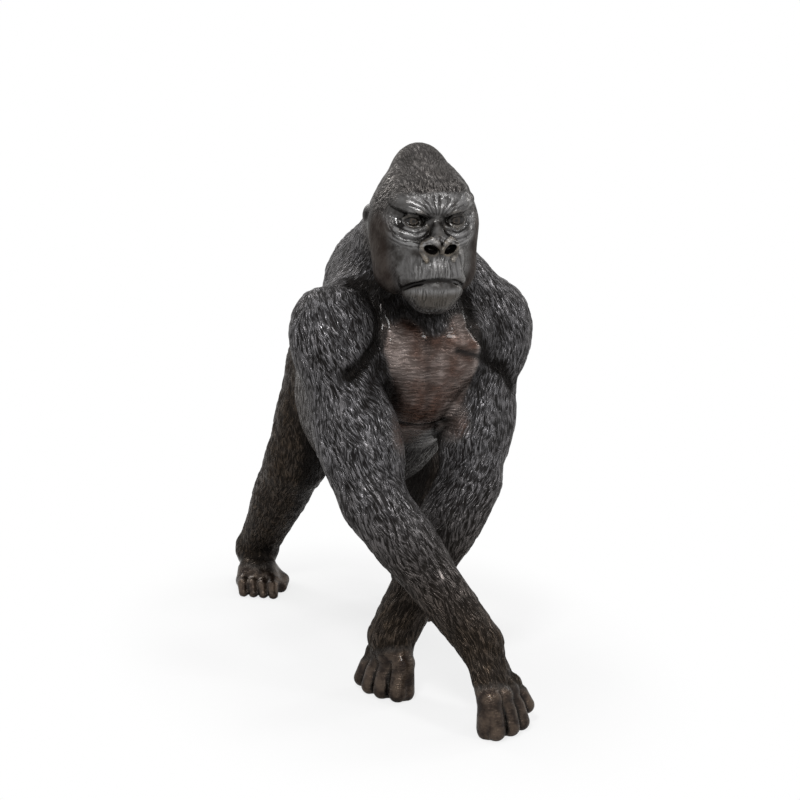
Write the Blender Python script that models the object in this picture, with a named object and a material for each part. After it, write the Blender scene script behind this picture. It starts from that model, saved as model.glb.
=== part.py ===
"""Walking silverback gorilla, a life-size bronze cast in one piece.

The animal faces -Y and walks on its knuckles with crossed forearms, the right one in front.
Metres, +Z up, the floor at Z = 0. Flesh is built on the joints of the skeleton as rounded
solids blended into one skin. The head is drawn in hundredths of its own height, a hand in
thicknesses of a finger, a foot in lengths of the foot.
"""

import math

import bmesh
import bpy
import numpy as np
import openvdb

# Overall size
HEIGHT = 1.300
HEAD_HEIGHT = 0.380

# Trunk widths and depths
CHEST_WIDTH = 0.400
CHEST_DEPTH = 0.450
HUMP_WIDTH = 0.330
NECK_WIDTH = 0.290
BELLY_WIDTH = 0.380
RUMP_WIDTH = 0.270

# Limb thicknesses, half of the flesh round each bone
UPPER_ARM = 0.082
FOREARM = 0.070
RIGHT_WRIST = 0.052
LEFT_WRIST = 0.057
THIGH = 0.100
CALF = 0.076

# Hands and feet
FINGER = 0.045
FOOT_LENGTH = 0.260

# Height of the animal's build over the life-size one its joints are measured on
STATURE = HEIGHT / 1.300

# Fineness of the skin and number of triangles it is brought down to
SKIN_STEP = HEIGHT / 235.0
TRIANGLES = 11600


# Points and rotations

def at(x, y, z):
    return np.array((x, y, z)) * STATURE


def vec(x, y, z):
    return np.array((x, y, z), float)


UP = vec(0, 0, 1)
FORWARD = vec(0, -1, 0)


def unit(vector):
    return vector / np.linalg.norm(vector)


def lengths(rows):
    return np.sqrt(np.einsum("ij,ij->i", rows, rows))


def turned(degrees, axis):
    """Rotation matrix about one of the frame's own axes."""
    c = math.cos(math.radians(degrees))
    s = math.sin(math.radians(degrees))
    i, j = [k for k in range(3) if k != axis]
    turn = np.eye(3)
    turn[i, i] = turn[j, j] = c
    turn[i, j] = -s if axis != 1 else s
    turn[j, i] = s if axis != 1 else -s
    return turn


# Rounded solids: signed distance from points to a surface, negative inside

def egg(points, centre, radii, axes=None):
    local = points - centre
    if axes is not None:
        local = local @ np.asarray(axes).T
    radii = np.asarray(radii, float)
    reach = lengths(local / radii)
    return reach * (reach - 1) / np.maximum(lengths(local / radii**2), 1e-9)


def taper(points, start, end, start_radius, end_radius):
    along = end - start
    share = np.clip((points - start) @ along / (along @ along), 0, 1)
    radius = start_radius + (end_radius - start_radius) * share
    return lengths(points - start - share[:, None] * along) - radius


def chain(points, stations):
    """Tapering limb through stations, each a centre and a radius."""
    spans = zip(stations, stations[1:])
    return np.minimum.reduce([taper(points, a, b, ra, rb) for (a, ra), (b, rb) in spans])


def join(first, second, soft):
    share = np.clip(0.5 + 0.5 * (second - first) / soft, 0, 1)
    return second + (first - second) * share - soft * share * (1 - share)


def cut(body, tool, soft):
    return -join(-body, tool, soft)


def muscle(points, start, end, girth, place, side, shape):
    """Spindle lying along a bone; place and length run along it, the rest counts in girths."""
    length, wide, deep, out = shape
    bone = end - start
    along = unit(bone)
    face = unit(side - (side @ along) * along)
    axes = np.array([face, np.cross(along, face), along])
    centre = start + bone * place + face * out * girth
    return egg(points, centre, (deep * girth, wide * girth, length * np.linalg.norm(bone)), axes)


# Joints of the skeleton

HEAD = at(-0.013, -0.365, 1.137)
HEAD_TURN = -1
RIGHT_ARM = (at(-0.192, -0.250, 0.860), at(-0.138, -0.395, 0.492), at(0.068, -0.548, 0.190))
LEFT_ARM = (at(0.212, -0.150, 0.855), at(0.138, -0.245, 0.495), at(-0.068, -0.290, 0.140))
RIGHT_LEG = (at(-0.045, 0.450, 0.670), at(-0.122, 0.520, 0.400), at(-0.190, 0.755, 0.100))
LEFT_LEG = (at(0.045, 0.420, 0.670), at(0.150, 0.230, 0.420), at(0.186, 0.430, 0.100))

# Floor point under each little finger and heading of the knuckle row there, in degrees
RIGHT_KNUCKLE = at(0.072, -0.652, 0)
RIGHT_ROW = 26
LEFT_KNUCKLE = at(-0.070, -0.352, 0)
LEFT_ROW = 130

# Outward turn of each foot in degrees
TOE_OUT = 9


# Trunk

def trunk(points):
    chest = CHEST_WIDTH / 2
    belly = BELLY_WIDTH / 2
    rump = RUMP_WIDTH / 2
    hump = HUMP_WIDTH / 2
    neck = NECK_WIDTH / 2
    body = egg(points, at(0.005, -0.05, 0.79), (chest, chest * 1.35, CHEST_DEPTH / 2), turned(-12, 0))
    lower = egg(points, at(0, 0.16, 0.645), (belly, belly * 1.58, belly * 1.21), turned(-6, 0))
    body = join(body, lower, belly * 0.53)
    body = join(body, egg(points, at(0, 0.46, 0.70), (rump, rump * 1.22, rump * 1.11)), rump * 0.6)
    back = egg(points, at(0.012, -0.08, 0.965), (hump, hump * 1.15, hump * 0.58), turned(-10, 0))
    body = join(body, back, hump * 0.48)
    nape = taper(points, at(0, -0.10, 0.985), at(-0.015, -0.31, 1.12), neck, neck * 0.68)
    body = join(body, nape, neck * 0.48)
    return shoulder_girdle(points, body, chest)


def shoulder_girdle(points, body, chest):
    """Flesh from the neck to each shoulder joint, and the two breast muscles."""
    right = taper(points, RIGHT_ARM[0] + at(0.02, 0, 0.025), at(-0.05, -0.12, 0.94), UPPER_ARM * 1.04, hump_end())
    left = taper(points, LEFT_ARM[0] + at(-0.02, 0, 0.035), at(0.075, -0.15, 0.985), UPPER_ARM * 1.1, hump_end())
    body = join(body, right, chest * 0.25)
    body = join(body, left, chest * 0.3)
    for side in (-1, 1):
        centre = at(0.005, -0.262, 0.825) + vec(side * 0.44 * chest, 0, 0)
        breast = egg(points, centre, (chest * 0.52, chest * 0.31, chest * 0.42), turned(-18 * side, 2))
        body = join(body, breast, chest * 0.26)
    return body


def hump_end():
    return HUMP_WIDTH * 0.3


# Limbs

def arm(points, joints, side, wrist_radius, bow):
    """Upper arm and forearm; bow pushes the middle of the upper arm outwards, in girths."""
    shoulder, elbow, wrist = joints
    out = vec(side, 0, 0)
    middle = (shoulder + elbow) / 2 + out * bow * UPPER_ARM
    flesh = chain(points, [(shoulder, UPPER_ARM * 1.07), (middle, UPPER_ARM), (elbow, UPPER_ARM * 0.83)])
    soft = UPPER_ARM * 0.36
    spindles = [
        (0.06, out, (0.34, 1.12, 1.07, 0.24)),
        (0.66, FORWARD * 0.8 - out, (0.31, 0.80, 0.73, 0.49)),
        (0.60, FORWARD * -0.6 + out, (0.37, 0.85, 0.80, 0.44)),
    ]
    for place, face, shape in spindles:
        flesh = join(flesh, muscle(points, shoulder, elbow, UPPER_ARM, place, face, shape), soft)
    bend = elbow + (wrist - elbow) * 0.42
    lower = chain(points, [(elbow, FOREARM), (bend, FOREARM * 0.92), (wrist, wrist_radius)])
    flesh = join(flesh, lower, soft)
    spindles = [
        (0.20, out * 0.4 + FORWARD, (0.30, 0.83, 0.74, 0.40)),
        (0.24, FORWARD * -0.4 - out, (0.30, 0.80, 0.71, 0.31)),
    ]
    for place, face, shape in spindles:
        flesh = join(flesh, muscle(points, elbow, wrist, FOREARM, place, face, shape), soft)
    return flesh


def leg(points, joints, side):
    hip, knee, ankle = joints
    out = vec(side, 0, 0)
    shin = ankle - knee
    flesh = chain(points, [(hip, THIGH * 1.08), ((hip + knee) / 2, THIGH), (knee, CALF * 1.03)])
    front = muscle(points, hip, knee, THIGH, 0.5, FORWARD - out * 0.1, (0.58, 0.80, 0.72, 0.35))
    flesh = join(flesh, front, THIGH * 0.5)
    lower = chain(points, [
        (knee, CALF * 1.03),
        (knee + shin * 0.35, CALF),
        (knee + shin * 0.75, CALF * 0.82),
        (ankle, CALF * 0.74),
    ])
    flesh = join(flesh, lower, CALF * 0.53)
    back = muscle(points, knee, ankle, CALF, 0.34, FORWARD * -1 - out * 0.15, (0.34, 0.82, 0.76, 0.34))
    return join(flesh, back, CALF * 0.53)


def foot(points, ankle, side):
    """Flat foot with four toes and a spread big toe, in lengths of the foot."""
    size = FOOT_LENGTH
    swing = math.radians(TOE_OUT) * side
    fore = vec(math.sin(swing), -math.cos(swing), 0)
    outer = vec(math.cos(swing), math.sin(swing), 0) * side
    base = vec(ankle[0], ankle[1], 0)
    mid = base + (fore * 0.27 + UP * 0.17) * size
    ball = base + (fore * 0.52 + UP * 0.115) * size
    heel = base + (fore * -0.16 + UP * 0.145) * size
    flesh = taper(points, ankle, heel, size * 0.20, size * 0.165)
    flesh = join(flesh, taper(points, ankle, mid, size * 0.20, size * 0.165), size * 0.11)
    for step in range(3):
        across = outer * (step - 1) * 0.13
        ray = taper(points, mid + across * 0.7 * size, ball + (across * 1.1 - fore * 0.08 * step) * size,
                    size * 0.14, size * 0.105)
        flesh = join(flesh, ray, size * 0.08)
    for step in range(4):
        root = ball + (outer * (step * 0.1 - 0.14) * 1.05 - fore * (0.02 + 0.03 * step)) * size
        knuckle = root + fore * (0.13 - 0.012 * step) * size
        tip = knuckle + (fore * 0.085 - UP * 0.075) * size
        toe = chain(points, [(root, size * 0.075), (knuckle, size * 0.065), (tip, size * 0.052)])
        flesh = join(flesh, toe, size * 0.023)
    root = base + (fore * 0.19 - outer * 0.14 + UP * 0.135) * size
    knuckle = root + (fore * 0.18 - outer * 0.12 - UP * 0.025) * size
    tip = knuckle + (fore * 0.13 + outer * 0.02 - UP * 0.04) * size
    big_toe = chain(points, [(root, size * 0.10), (knuckle, size * 0.08), (tip, size * 0.067)])
    return join(flesh, big_toe, size * 0.046)


def hand(points, wrist, knuckle, heading, side, lift):
    """Fist resting on the middle joints of the fingers, in thicknesses of a finger."""
    size = FINGER
    flesh = None
    for number in range(4):
        angle = math.radians(heading + 15 * side * number)
        row = vec(math.cos(angle), math.sin(angle), 0)
        dorsal = vec(row[1], -row[0], 0) * side
        rise = lift if number == 3 else 0.0
        thick = 0.59 - 0.033 * number
        middle = knuckle + UP * (0.45 - 0.018 * number + rise) * size
        base = middle + (UP * (1.47 - rise * 0.8) - dorsal * (0.53 + 0.133 * number)) * size
        last = middle - (dorsal * 0.8 + UP * 0.045) * size
        tip = last + (UP * 0.62 - dorsal * 0.09) * size
        palm = taper(points, wrist, base, size * 0.84, size * thick)
        bow = (base + middle) / 2 + dorsal * 0.13 * size
        finger = chain(points, [
            (base, size * thick),
            (bow, size * 0.49),
            (middle, size * (0.5 - 0.018 * number)),
            (last, size * 0.41),
            (tip, size * 0.33),
        ])
        flesh = palm if flesh is None else join(flesh, palm, size * 0.22)
        inside = last + dorsal * 0.3 * size
        fold = taper(points, base + dorsal * 0.1 * size, inside, size * 0.62, size * 0.6)
        flesh = join(flesh, fold, size * 0.1)
        flesh = join(flesh, finger, size * 0.05)
        knuckle = knuckle + row * size
    root = (wrist + base) / 2 - dorsal * 0.27 * size
    bend = base - (dorsal * 0.40 + UP * 0.09) * size
    tip = bend + (row * 0.16 + dorsal * 0.12 - UP * 0.62) * size
    thumb = chain(points, [(root, size * 0.53), (bend, size * 0.38), (tip, size * 0.31)])
    return join(flesh, thumb, size * 0.22)


# Head, in hundredths of its height: x to the animal's left, y back, z up from the eye line

def skull(face, half):
    body = egg(face, vec(0, 3.2, 0), (28.7, 30, 31))
    body = join(body, taper(face, vec(0, 4, 12), vec(-0.8, 9.2, 27.4), 23.7, 14.5), 13)
    body = join(body, taper(half, vec(17.9, 1.3, -6.3), vec(15.8, -2.1, -31), 14.7, 15.3), 10.5)
    body = join(body, egg(face, vec(0, -18, -25), (18.9, 18.9, 15.3)), 8)
    return join(body, egg(face, vec(0, -19, -43.4), (15.8, 15.3, 13.2)), 8)


def brow_and_eyes(half, body):
    body = join(body, taper(half, vec(0, -21, 11.6), vec(13.2, -19, 13.2), 6.3, 6.3), 8)
    ridge = chain(half, [
        (vec(0, -25.8, 5.8), 5.5),
        (vec(9, -27.1, 6.3), 5.9),
        (vec(15.3, -24, 8.2), 5.5),
        (vec(21, -17.4, 10), 4.5),
    ])
    body = join(body, ridge, 2.6)
    body = cut(body, egg(half, vec(13.2, -29.5, -2.1), (7.4, 11.6, 4.6)), 2.1)
    body = join(body, egg(half, vec(13.2, -21.2, -1.6), (4.4, 4.4, 4.4)), 0.6)
    cheek = chain(half, [(vec(9, -23.7, -12), 3.2), (vec(16.8, -19.5, -12), 4.7), (vec(24, -12, -5.5), 4.5)])
    return join(body, cheek, 5.3)


def nose(face, half, body):
    body = join(body, taper(face, vec(0, -23.7, 0.5), vec(0, -33.2, -11), 3.2, 4), 3.2)
    body = join(body, egg(half, vec(4.7, -32.6, -15.8), (6.6, 6.3, 6.3)), 2.6)
    rim = chain(half, [
        (vec(0, -39.7, -18.4), 1.7),
        (vec(2.6, -39.5, -13.7), 1.9),
        (vec(5.8, -38.4, -11), 1.9),
        (vec(9.5, -35.3, -13.2), 1.9),
        (vec(10.5, -34, -18.4), 1.7),
        (vec(8.2, -35.8, -24.2), 1.5),
        (vec(6.1, -36.3, -28.4), 1.4),
    ])
    body = join(body, rim, 1.2)
    return cut(body, egg(half, vec(5.8, -40, -17), (3.8, 7.9, 3.2), turned(14, 1)), 0.9)


def mouth(half, body):
    upper = chain(half, [(vec(0, -33.7, -29.5), 5.5), (vec(10, -29, -31.6), 5.3), (vec(15.8, -20, -36.3), 3.9)])
    lower = chain(half, [(vec(0, -32, -40), 4.7), (vec(9, -28, -41.6), 4.5), (vec(14.2, -19.5, -43.4), 3.7)])
    body = join(join(body, upper, 3.2), lower, 3.2)
    slit = chain(half, [
        (vec(0, -37.9, -35.1), 1.6),
        (vec(7.9, -35.3, -35.8), 1.6),
        (vec(13.7, -27.4, -38), 1.6),
        (vec(17.6, -21.1, -40.5), 1.2),
    ])
    return cut(body, slit, 1.1)


def ears(half, body):
    shell = egg(half, vec(30, 6.3, -0.5), (2.9, 5.3, 6.6), turned(25, 2))
    shell = cut(shell, egg(half, vec(33, 3.2, -0.5), (2.4, 3.2, 4.2)), 1.1)
    return join(body, shell, 1.6)


def head(points):
    grid = HEAD_HEIGHT / 100
    face = (points - HEAD) @ turned(HEAD_TURN, 2) / grid
    half = np.column_stack([np.abs(face[:, 0]), face[:, 1], face[:, 2]])
    body = skull(face, half)
    body = brow_and_eyes(half, body)
    body = nose(face, half, body)
    body = mouth(half, body)
    return ears(half, body) * grid


# Whole animal

def blend_near(points, body, centre, reach, shape, soft):
    """Join a small shape to the body, worked out only for the points round it."""
    close = lengths(points - centre) < reach
    if close.any():
        body[close] = join(body[close], shape(points[close]), soft)
    return body


def animal(points):
    body = trunk(points)
    for joints, side in ((RIGHT_LEG, -1), (LEFT_LEG, 1)):
        ankle = joints[2]
        body = join(body, leg(points, joints, side), THIGH * 0.5)
        sole = vec(ankle[0], ankle[1] - FOOT_LENGTH * 0.2, ankle[2] / 2)
        body = blend_near(points, body, sole, FOOT_LENGTH * 1.25,
                          lambda near: foot(near, ankle, side), FOOT_LENGTH * 0.08)
    sides = (
        (RIGHT_ARM, -1, RIGHT_WRIST, 0.08, RIGHT_KNUCKLE, RIGHT_ROW, 0.53),
        (LEFT_ARM, 1, LEFT_WRIST, -0.2, LEFT_KNUCKLE, LEFT_ROW, 0.13),
    )
    for joints, side, wrist_radius, bow, knuckle, heading, lift in sides:
        wrist = joints[2]
        limb = arm(points, joints, side, wrist_radius, bow)
        limb = blend_near(points, limb, (wrist + knuckle) / 2, FINGER * 6,
                          lambda near: hand(near, wrist, knuckle, heading, -side, lift), FINGER * 0.45)
        body = join(body, limb, UPPER_ARM * 0.25)
    return blend_near(points, body, HEAD, HEAD_HEIGHT * 0.95, head, HEAD_HEIGHT * 0.1)


# Skin

def skin_grid(shape, low, high, step, block=8):
    """Distances on a regular grid; only blocks of cells near the skin are worked out in full."""
    count = np.ceil((high - low) / step / block).astype(int)
    cells = np.stack(np.meshgrid(*[np.arange(n) for n in count], indexing="ij"), -1).reshape(-1, 3)
    coarse = shape(low + (cells + 0.5) * block * step)
    band = 3 * step
    values = np.empty(count * block, np.float32)
    blocks = values.reshape(count[0], block, count[1], block, count[2], block).transpose(0, 2, 4, 1, 3, 5)
    blocks[:] = np.where(coarse > 0, band, -band).reshape(tuple(count) + (1, 1, 1))
    close = cells[np.abs(coarse) < block * step * 1.1 + step]
    inner = np.stack(np.meshgrid(*[np.arange(block)] * 3, indexing="ij"), -1).reshape(-1, 3)
    for group in np.array_split(close, max(1, len(close) // 400)):
        nodes = low + (group[:, None, :] * block + inner) * step
        found = np.clip(shape(nodes.reshape(-1, 3)), -band, band)
        blocks[group[:, 0], group[:, 1], group[:, 2]] = found.reshape(len(group), block, block, block)
    return values


def skin(shape, low, high, step):
    grid = openvdb.FloatGrid(3 * step)
    grid.copyFromArray(skin_grid(shape, low, high, step))
    grid.transform = openvdb.createLinearTransform(voxelSize=step)
    points, quads = grid.convertToQuads()
    return points + low, quads


def flat_soles(mesh):
    """Cut everything under the floor away and close the cuts with flat faces."""
    work = bmesh.new()
    work.from_mesh(mesh)
    if work.calc_volume(signed=True) < 0:
        bmesh.ops.reverse_faces(work, faces=work.faces[:])
    geometry = work.verts[:] + work.edges[:] + work.faces[:]
    found = bmesh.ops.bisect_plane(work, geom=geometry, dist=SKIN_STEP * 0.02, plane_co=(0, 0, 0),
                                   plane_no=(0, 0, -1), clear_outer=True)
    rims = [item for item in found["geom_cut"] if isinstance(item, bmesh.types.BMEdge)]
    bmesh.ops.holes_fill(work, edges=rims)
    bmesh.ops.triangulate(work, faces=work.faces[:])
    for vertex in work.verts:
        if abs(vertex.co.z) < SKIN_STEP * 0.021:
            vertex.co.z = 0.0
    bmesh.ops.dissolve_degenerate(work, edges=work.edges[:], dist=SKIN_STEP * 0.01)
    work.to_mesh(mesh)
    work.free()


def stand_on_origin(mesh):
    """Put the middle of the footprint on the origin, with the soles on the floor."""
    spots = np.array([vertex.co for vertex in mesh.vertices])
    middle = (spots.min(axis=0) + spots.max(axis=0)) / 2
    for vertex in mesh.vertices:
        vertex.co.x -= middle[0]
        vertex.co.y -= middle[1]


def thinned(mesh):
    """Bring the skin down to its number of triangles, keeping more on the head, hands and feet."""
    body = bpy.data.objects.new("skin", mesh)
    bpy.context.scene.collection.objects.link(body)
    fine = body.vertex_groups.new(name="detail")
    spots = np.array([vertex.co for vertex in mesh.vertices])
    face = HEAD + vec(0, -HEAD_HEIGHT * 0.25, -HEAD_HEIGHT * 0.1)
    balls = [(face, HEAD_HEIGHT * 0.36), (RIGHT_KNUCKLE, FINGER * 4), (LEFT_KNUCKLE, FINGER * 4)]
    balls += [(joints[2] + FORWARD * FOOT_LENGTH * 0.6, FOOT_LENGTH * 0.4) for joints in (RIGHT_LEG, LEFT_LEG)]
    kept = np.zeros(len(spots), bool)
    for centre, reach in balls:
        kept |= lengths(spots - centre) < reach
    fine.add(np.flatnonzero(~kept).tolist(), 1.0, "REPLACE")
    fine.add(np.flatnonzero(kept).tolist(), 0.5, "REPLACE")
    thin = body.modifiers.new("thin", "DECIMATE")
    thin.ratio = TRIANGLES / (2 * len(mesh.polygons))
    thin.vertex_group = "detail"
    thin.vertex_group_factor = 0.02
    result = bpy.data.meshes.new_from_object(body.evaluated_get(bpy.context.evaluated_depsgraph_get()))
    bpy.data.objects.remove(body)
    return result


def bronze():
    material = bpy.data.materials.new("bronze")
    material.use_nodes = True
    shader = material.node_tree.nodes["Principled BSDF"]
    shader.inputs["Base Color"].default_value = (0.060, 0.046, 0.038, 1.0)
    shader.inputs["Metallic"].default_value = 0.75
    shader.inputs["Roughness"].default_value = 0.45
    return material


def build():
    low = at(-0.42, -0.80, -0.04)
    high = at(0.42, 0.96, 1.40)
    points, quads = skin(animal, low, high, SKIN_STEP)
    mesh = bpy.data.meshes.new("gorilla")
    mesh.from_pydata(points.tolist(), [], quads.tolist())
    mesh.update()
    mesh = thinned(mesh)
    flat_soles(mesh)
    stand_on_origin(mesh)
    mesh.materials.clear()
    mesh.materials.append(bronze())
    gorilla = bpy.data.objects.new("gorilla", mesh)
    bpy.context.scene.collection.objects.link(gorilla)


for old in list(bpy.data.objects):
    bpy.data.objects.remove(old)

build()
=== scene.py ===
"""Walking silverback gorilla in cast bronze, dressed and lit for its picture.

The body's rounded solids are blended again at a finer pitch than in the model, then the hair,
the wrinkles, the eyes, the patina and painted shade and highlights are added. Metres, +Z up, the floor at Z
= 0.
"""

import math

import bmesh
import bpy
import numpy as np
import openvdb
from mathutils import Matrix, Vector
from mathutils.kdtree import KDTree

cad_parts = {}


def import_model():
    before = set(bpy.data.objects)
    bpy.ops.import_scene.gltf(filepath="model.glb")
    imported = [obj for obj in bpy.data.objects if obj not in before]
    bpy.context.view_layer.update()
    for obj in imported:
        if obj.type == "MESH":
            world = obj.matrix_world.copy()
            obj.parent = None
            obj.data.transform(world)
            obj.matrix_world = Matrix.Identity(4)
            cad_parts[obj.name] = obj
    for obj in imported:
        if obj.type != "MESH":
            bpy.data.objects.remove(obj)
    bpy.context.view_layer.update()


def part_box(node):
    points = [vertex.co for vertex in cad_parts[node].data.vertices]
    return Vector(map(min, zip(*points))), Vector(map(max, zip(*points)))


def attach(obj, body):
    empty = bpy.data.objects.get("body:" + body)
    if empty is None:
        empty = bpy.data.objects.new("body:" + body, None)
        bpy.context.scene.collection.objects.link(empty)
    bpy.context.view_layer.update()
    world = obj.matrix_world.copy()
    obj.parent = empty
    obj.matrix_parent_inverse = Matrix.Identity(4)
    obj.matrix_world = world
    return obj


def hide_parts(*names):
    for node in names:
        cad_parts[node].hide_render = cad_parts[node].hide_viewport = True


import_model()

# Sizes of the animal, as in the model
CHEST_WIDTH = 0.400
CHEST_DEPTH = 0.450
HUMP_WIDTH = 0.330
NECK_WIDTH = 0.290
BELLY_WIDTH = 0.380
RUMP_WIDTH = 0.270
HEAD_HEIGHT = 0.380
UPPER_ARM = 0.082
FOREARM = 0.070
RIGHT_WRIST = 0.052
LEFT_WRIST = 0.057
THIGH = 0.100
CALF = 0.076
FINGER = 0.045
FOOT_LENGTH = 0.260

# Skin: pitch of its grid, number of hair locks, number of triangles it is brought down to
PITCH = 0.0050
LOCK_COUNT = 9000
TRIANGLES = 196000

# Relief of the skin, in metres
LOCK_HEIGHT = 0.0021
LOCK_SINK = 0.0007
FURROW_DEPTH = 0.0019
RING_DEPTH = 0.0008
CHEST_LINE_DEPTH = 0.0007
DEEPEST_FOLD = 0.012

# How much wider than high the rings round the eyes are
EYE_STRETCH = 1.15

# Single hair strokes, in metres, long on the body and short on the head
STROKE_WIDTH, SHORT_STROKE_WIDTH = 0.0038, 0.0030
STROKE_LENGTH, SHORT_STROKE_LENGTH = 0.024, 0.013
STROKE_HEIGHT, SHORT_STROKE_HEIGHT = 0.0034, 0.0020

# Numbers at the vertices that the bronze reads
MARKS = ("fur", "chest", "hand", "short", "calm", "jaw", "lock", "brown_and_shade", "painted_shade", "edge", "crease",
         "pupil_shade", "iris", "eye", "across_lines", "lined", "chin")

DARK_BROWN = (0.018, 0.011, 0.008, 1)
FLOOR_SIZE = 60.0

rng = np.random.default_rng(7)


# Points and rotations

def vec(x, y, z):
    return np.array((x, y, z), float)


UP = vec(0, 0, 1)
FORWARD = vec(0, -1, 0)


def unit(vector):
    return vector / np.linalg.norm(vector)


def lengths(rows):
    return np.sqrt(np.einsum("ij,ij->i", rows, rows))


def normalised(rows):
    return rows / np.maximum(lengths(rows), 1e-9)[:, None]


def step(values, low, high):
    """Smooth ramp from 0 at low to 1 at high."""
    share = np.clip((values - low) / (high - low), 0, 1)
    return share * share * (3 - 2 * share)


def turned(degrees, axis):
    c = math.cos(math.radians(degrees))
    s = math.sin(math.radians(degrees))
    i, j = [k for k in range(3) if k != axis]
    turn = np.eye(3)
    turn[i, i] = turn[j, j] = c
    turn[i, j] = -s if axis != 1 else s
    turn[j, i] = s if axis != 1 else -s
    return turn


# Rounded solids: signed distance from points to a surface, negative inside

def egg(points, centre, radii, axes=None):
    local = points - centre
    if axes is not None:
        local = local @ np.asarray(axes).T
    radii = np.asarray(radii, float)
    reach = lengths(local / radii)
    return reach * (reach - 1) / np.maximum(lengths(local / radii**2), 1e-9)


def taper(points, start, end, start_radius, end_radius):
    along = end - start
    share = np.clip((points - start) @ along / (along @ along), 0, 1)
    radius = start_radius + (end_radius - start_radius) * share
    return lengths(points - start - share[:, None] * along) - radius


def chain(points, stations):
    stations = [(np.asarray(place, float), radius) for place, radius in stations]
    spans = zip(stations, stations[1:])
    return np.minimum.reduce([taper(points, a, b, ra, rb) for (a, ra), (b, rb) in spans])


def join(first, second, soft):
    share = np.clip(0.5 + 0.5 * (second - first) / soft, 0, 1)
    return second + (first - second) * share - soft * share * (1 - share)


def cut(body, tool, soft):
    return -join(-body, tool, soft)


def muscle(points, start, end, girth, place, side, shape):
    length, wide, deep, out = shape
    bone = end - start
    along = unit(bone)
    face = unit(side - (side @ along) * along)
    axes = np.array([face, np.cross(along, face), along])
    centre = start + bone * place + face * out * girth
    return egg(points, centre, (deep * girth, wide * girth, length * np.linalg.norm(bone)), axes)


# Joints of the skeleton

HEAD = vec(-0.013, -0.365, 1.137)
HEAD_TURN = -1
RIGHT_ARM = (vec(-0.192, -0.250, 0.860), vec(-0.138, -0.395, 0.492), vec(0.068, -0.548, 0.190))
LEFT_ARM = (vec(0.212, -0.150, 0.855), vec(0.138, -0.245, 0.495), vec(-0.068, -0.290, 0.140))
RIGHT_LEG = (vec(-0.045, 0.450, 0.670), vec(-0.122, 0.520, 0.400), vec(-0.190, 0.755, 0.100))
LEFT_LEG = (vec(0.045, 0.420, 0.670), vec(0.150, 0.230, 0.420), vec(0.186, 0.430, 0.100))
RIGHT_KNUCKLE = vec(0.072, -0.652, 0)
RIGHT_ROW = 26
LEFT_KNUCKLE = vec(-0.070, -0.352, 0)
LEFT_ROW = 130
TOE_OUT = 9


# Trunk

def trunk(points):
    chest = CHEST_WIDTH / 2
    belly = BELLY_WIDTH / 2
    rump = RUMP_WIDTH / 2
    hump = HUMP_WIDTH / 2
    neck = NECK_WIDTH / 2
    body = egg(points, vec(0.005, -0.05, 0.79), (chest, chest * 1.35, CHEST_DEPTH / 2), turned(-12, 0))
    lower = egg(points, vec(0, 0.16, 0.645), (belly, belly * 1.58, belly * 1.21), turned(-6, 0))
    body = join(body, lower, belly * 0.53)
    body = join(body, egg(points, vec(0, 0.46, 0.70), (rump, rump * 1.22, rump * 1.11)), rump * 0.6)
    back = egg(points, vec(0.012, -0.08, 0.965), (hump, hump * 1.15, hump * 0.58), turned(-10, 0))
    body = join(body, back, hump * 0.48)
    nape = taper(points, vec(0, -0.10, 0.985), vec(-0.015, -0.31, 1.12), neck, neck * 0.68)
    body = join(body, nape, neck * 0.48)
    right = RIGHT_ARM[0] + vec(0.02, 0, 0.025)
    left = LEFT_ARM[0] + vec(-0.02, 0, 0.035)
    blade = HUMP_WIDTH * 0.3
    body = join(body, taper(points, right, vec(-0.05, -0.12, 0.94), UPPER_ARM * 1.04, blade), chest * 0.25)
    body = join(body, taper(points, left, vec(0.075, -0.15, 0.985), UPPER_ARM * 1.1, blade), chest * 0.3)
    for side in (-1, 1):
        centre = vec(0.005, -0.262, 0.825) + vec(side * 0.44 * chest, 0, 0)
        breast = egg(points, centre, (chest * 0.52, chest * 0.31, chest * 0.42), turned(-18 * side, 2))
        body = join(body, breast, chest * 0.26)
    return body


# Limbs

def arm(points, joints, side, wrist_radius, bow):
    shoulder, elbow, wrist = joints
    out = vec(side, 0, 0)
    middle = (shoulder + elbow) / 2 + out * bow * UPPER_ARM
    flesh = chain(points, [(shoulder, UPPER_ARM * 1.07), (middle, UPPER_ARM), (elbow, UPPER_ARM * 0.83)])
    soft = UPPER_ARM * 0.36
    spindles = [
        (0.06, out, (0.34, 1.12, 1.07, 0.24)),
        (0.66, FORWARD * 0.8 - out, (0.31, 0.80, 0.73, 0.49)),
        (0.60, FORWARD * -0.6 + out, (0.37, 0.85, 0.80, 0.44)),
    ]
    for place, face, shape in spindles:
        flesh = join(flesh, muscle(points, shoulder, elbow, UPPER_ARM, place, face, shape), soft)
    bend = elbow + (wrist - elbow) * 0.42
    lower = chain(points, [(elbow, FOREARM), (bend, FOREARM * 0.92), (wrist, wrist_radius)])
    flesh = join(flesh, lower, soft)
    spindles = [
        (0.20, out * 0.4 + FORWARD, (0.30, 0.83, 0.74, 0.40)),
        (0.24, FORWARD * -0.4 - out, (0.30, 0.80, 0.71, 0.31)),
    ]
    for place, face, shape in spindles:
        flesh = join(flesh, muscle(points, elbow, wrist, FOREARM, place, face, shape), soft)
    return flesh


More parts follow.
